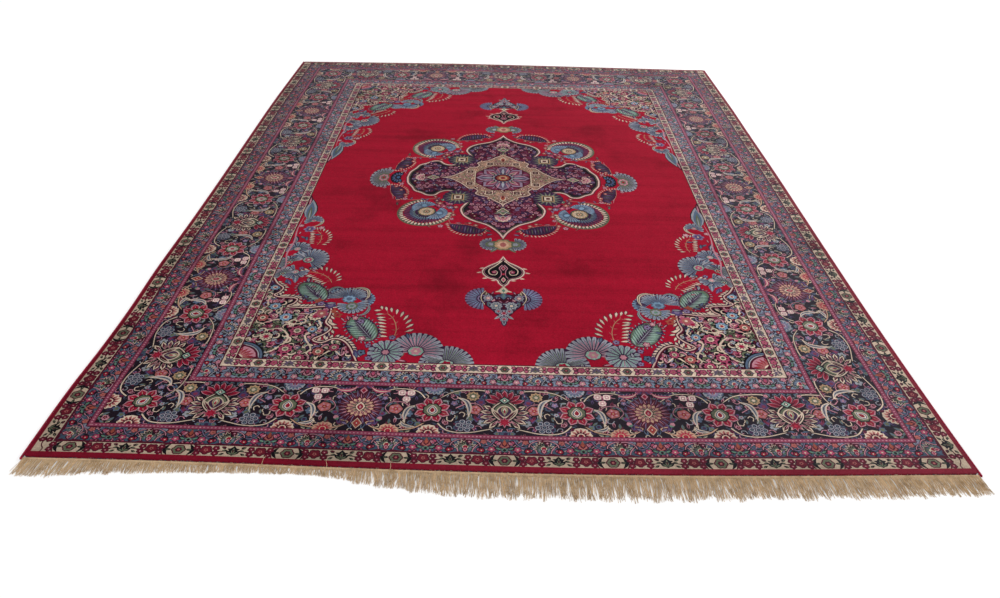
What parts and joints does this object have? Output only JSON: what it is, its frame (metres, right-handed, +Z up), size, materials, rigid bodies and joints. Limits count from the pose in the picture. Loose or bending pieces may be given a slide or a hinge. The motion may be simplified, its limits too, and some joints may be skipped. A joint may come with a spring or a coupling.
{
  "type": "persian rug",
  "caption": "Room-size hand-knotted wool rug lying flat, with overcast side cords and a warp fringe at both ends.",
  "frame": {"origin": "middle of the underside, on the floor", "axes": "+Y along the length towards the worn far end, +X across to the right, +Z up through the pile"},
  "size_m": [3.0369, 4.213, 0.009],
  "materials": {
    "wool_pile": "clipped wool pile, knotted in a medallion pattern",
    "wool_overcast": "wool yarn wound over the side cords",
    "cotton_warp": "tan cotton warp yarn, plain weave and twisted fringe"
  },
  "bodies": {
    "root": {"carpet": "wool_pile", "selvedge_left": "wool_overcast", "selvedge_right": "wool_overcast", "fringe_front": "cotton_warp", "fringe_back": "cotton_warp"}
  },
  "joints": []
}
